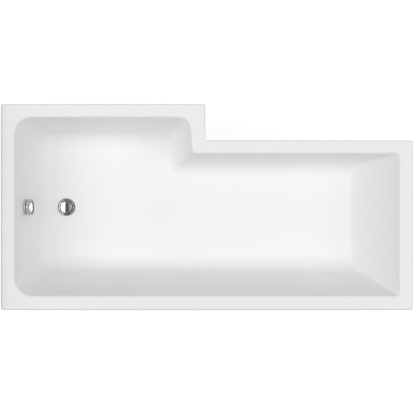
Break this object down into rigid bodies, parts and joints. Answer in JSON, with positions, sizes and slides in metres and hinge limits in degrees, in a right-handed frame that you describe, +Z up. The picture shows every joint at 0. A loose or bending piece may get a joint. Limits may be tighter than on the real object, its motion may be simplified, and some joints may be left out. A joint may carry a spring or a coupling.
{
  "type": "l-shaped bath",
  "caption": "L-shaped acrylic shower bath on adjustable feet, wide at the tap end, with a knob-operated pop-up waste and overflow.",
  "frame": {"origin": "on the floor, under the middle of the bath's overall length and width", "axes": "+X from the tap end to the head end along the length, +Y from the wall side to the side where the narrow part steps back, +Z up"},
  "size_m": [1.7, 0.85, 0.54],
  "materials": {
    "acrylic_white": "gloss white sanitary acrylic",
    "glassfibre": "rough sprayed glass-fibre resin",
    "chipboard": "raw chipboard, resin washed",
    "batten_timber": "sawn softwood",
    "zinc_steel": "zinc plated steel",
    "foot_plastic": "black moulded plastic",
    "chrome": "polished chrome plate",
    "seal_rubber": "black rubber",
    "waste_plastic": "white moulded polypropylene",
    "hose_plastic": "pale grey flexible hose",
    "stainless": "bright stainless strip",
    "brass": "turned brass",
    "cable_sheath": "black cable sheath"
  },
  "bodies": {
    "bath": {"bath_shell": "acrylic_white", "glassfibre_backing": "glassfibre", "base_board": "chipboard", "batten_back": "batten_timber", "batten_tap_end": "batten_timber", "batten_front_wide": "batten_timber", "batten_step": "batten_timber", "batten_front_narrow": "batten_timber", "batten_head_end": "batten_timber", "cross_rail_tap_end": "zinc_steel", "cross_rail_head_end": "zinc_steel", "centre_foot_bracket": "zinc_steel", "foot_nuts": "zinc_steel", "frame_screws": "zinc_steel", "bracket_screws": "zinc_steel", "wall_bracket_left": "zinc_steel", "wall_bracket_right": "zinc_steel", "wall_bracket_tap_end": "zinc_steel", "waste_seal_upper": "seal_rubber", "waste_seal_lower": "seal_rubber", "waste_flange": "chrome", "waste_body": "waste_plastic", "lever_pin": "stainless", "overflow_plate": "chrome", "overflow_seal": "seal_rubber", "overflow_elbow": "waste_plastic", "overflow_screws": "stainless", "overflow_hose": "hose_plastic", "hose_clip_upper": "stainless", "hose_clip_lower": "stainless", "control_cable": "cable_sheath"},
    "knob": {"control_knob": "chrome", "knob_grub_screw": "stainless", "knob_spindle": "brass", "knob_crank": "brass"},
    "plug": {"plug_cap": "chrome", "plug_seal": "seal_rubber", "plug_stem": "brass"},
    "lever": {"lift_lever": "brass"},
    "foot_1": {"foot_rod_1": "zinc_steel", "foot_pad_1": "foot_plastic"},
    "foot_2": {"foot_rod_2": "zinc_steel", "foot_pad_2": "foot_plastic"},
    "foot_3": {"foot_rod_3": "zinc_steel", "foot_pad_3": "foot_plastic"},
    "foot_4": {"foot_rod_4": "zinc_steel", "foot_pad_4": "foot_plastic"},
    "foot_5": {"foot_rod_5": "zinc_steel", "foot_pad_5": "foot_plastic"}
  },
  "joints": [
    {"name": "knob_turn", "type": "hinge", "parent": "bath", "child": "knob", "pos_m": [-0.76579, 0, 0.38], "axis": [0.9848, 0, 0.1736], "range_deg": [-90, 0]},
    {"name": "plug_lift", "type": "slide", "parent": "bath", "child": "plug", "axis": [0, 0, 1], "range_m": [-0.01, 0]},
    {"name": "lever_turn", "type": "hinge", "parent": "bath", "child": "lever", "pos_m": [-0.609, 0.022, 0.1092], "axis": [1, 0, 0], "range_deg": [0, 27]},
    {"name": "foot_1_height", "type": "slide", "parent": "bath", "child": "foot_1", "axis": [0, 0, 1], "range_m": [-0.018, 0.012]},
    {"name": "foot_2_height", "type": "slide", "parent": "bath", "child": "foot_2", "axis": [0, 0, 1], "range_m": [-0.018, 0.012]},
    {"name": "foot_3_height", "type": "slide", "parent": "bath", "child": "foot_3", "axis": [0, 0, 1], "range_m": [-0.018, 0.012]},
    {"name": "foot_4_height", "type": "slide", "parent": "bath", "child": "foot_4", "axis": [0, 0, 1], "range_m": [-0.018, 0.012]},
    {"name": "foot_5_height", "type": "slide", "parent": "bath", "child": "foot_5", "axis": [0, 0, 1], "range_m": [-0.018, 0.012]}
  ],
  "couplings": [
    {"joint": "plug_lift", "follows": "knob_turn", "m_per_rad": 0.006366},
    {"joint": "lever_turn", "follows": "knob_turn", "ratio": -0.2999}
  ]
}
